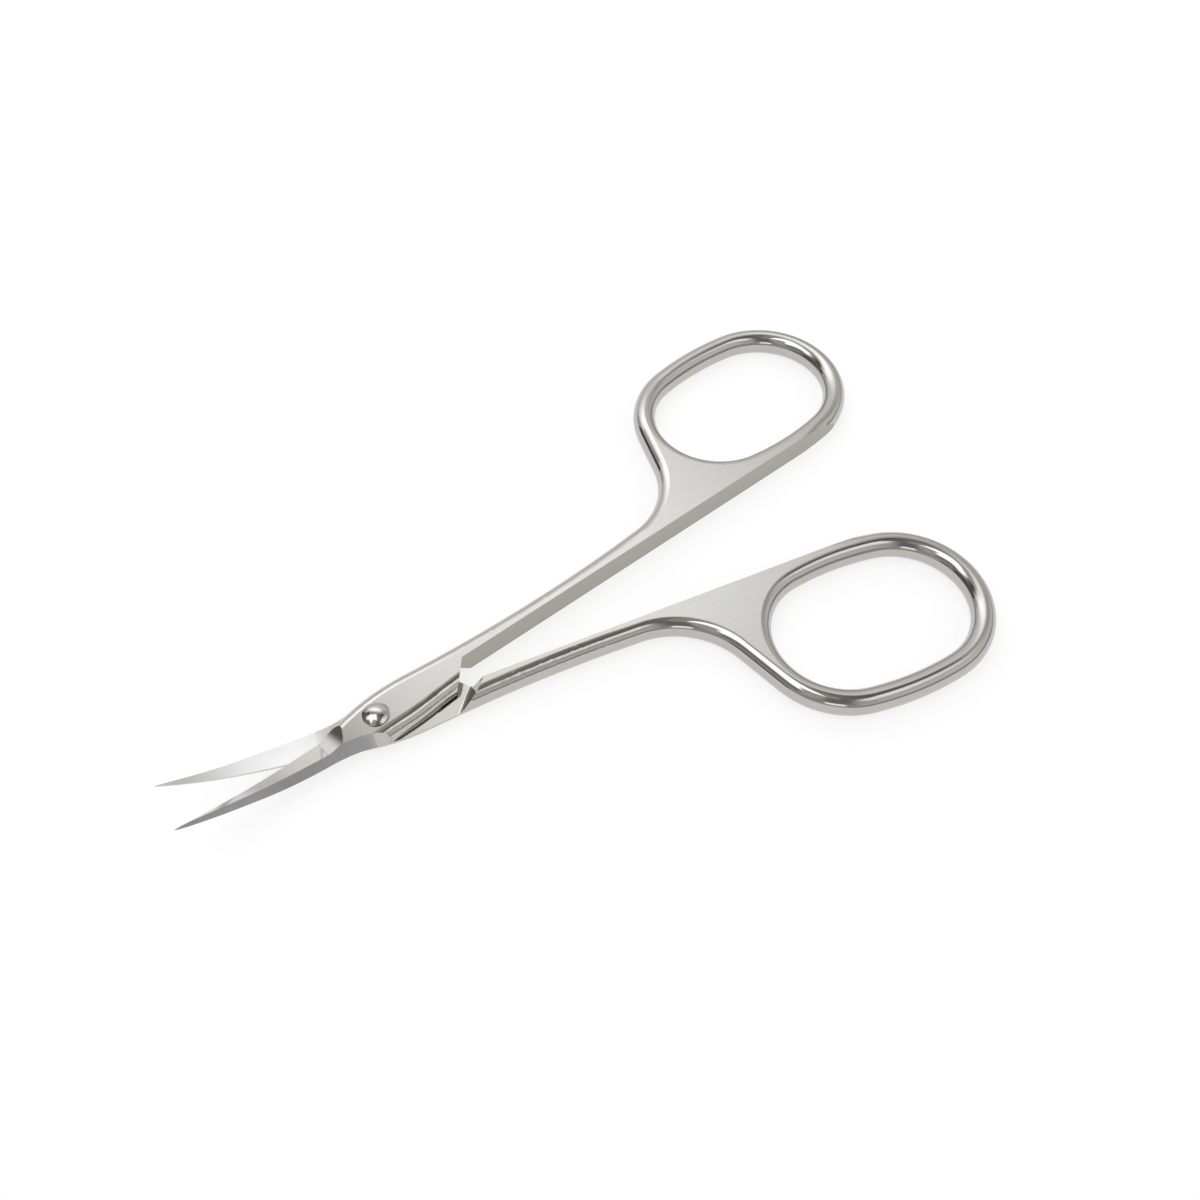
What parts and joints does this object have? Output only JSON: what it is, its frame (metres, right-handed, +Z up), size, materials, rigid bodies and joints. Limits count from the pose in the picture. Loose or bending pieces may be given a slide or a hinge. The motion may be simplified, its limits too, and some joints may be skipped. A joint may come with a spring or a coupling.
{
  "type": "cuticle scissors",
  "caption": "Small steel scissors with oval finger rings, straight shanks, a half-lap joint on a domed rivet and fine blades that curve upwards to sharp points.",
  "frame": {"origin": "on the rivet's axis, in the plane that the closed handles lie on", "axes": "+Z up along the rivet's axis, towards its domed head and the side the blade tips curve to; +X from the rivet to the finger rings along the line that halves the opening; +Y towards the upper half's ring"},
  "size_m": [0.111, 0.0655, 0.0061],
  "materials": {
    "polished_steel": "polished stainless steel, satin on the flat faces",
    "rivet_steel": "mirror-polished stainless steel"
  },
  "bodies": {
    "fixed_half": {"lower_half": "polished_steel", "pivot_rivet": "rivet_steel"},
    "moving_half": {"upper_half": "polished_steel"}
  },
  "joints": [
    {"name": "opening", "type": "hinge", "parent": "fixed_half", "child": "moving_half", "pos_m": [0, 0, 0], "axis": [0, 0, 1], "range_deg": [-14.35, 75.65]}
  ]
}
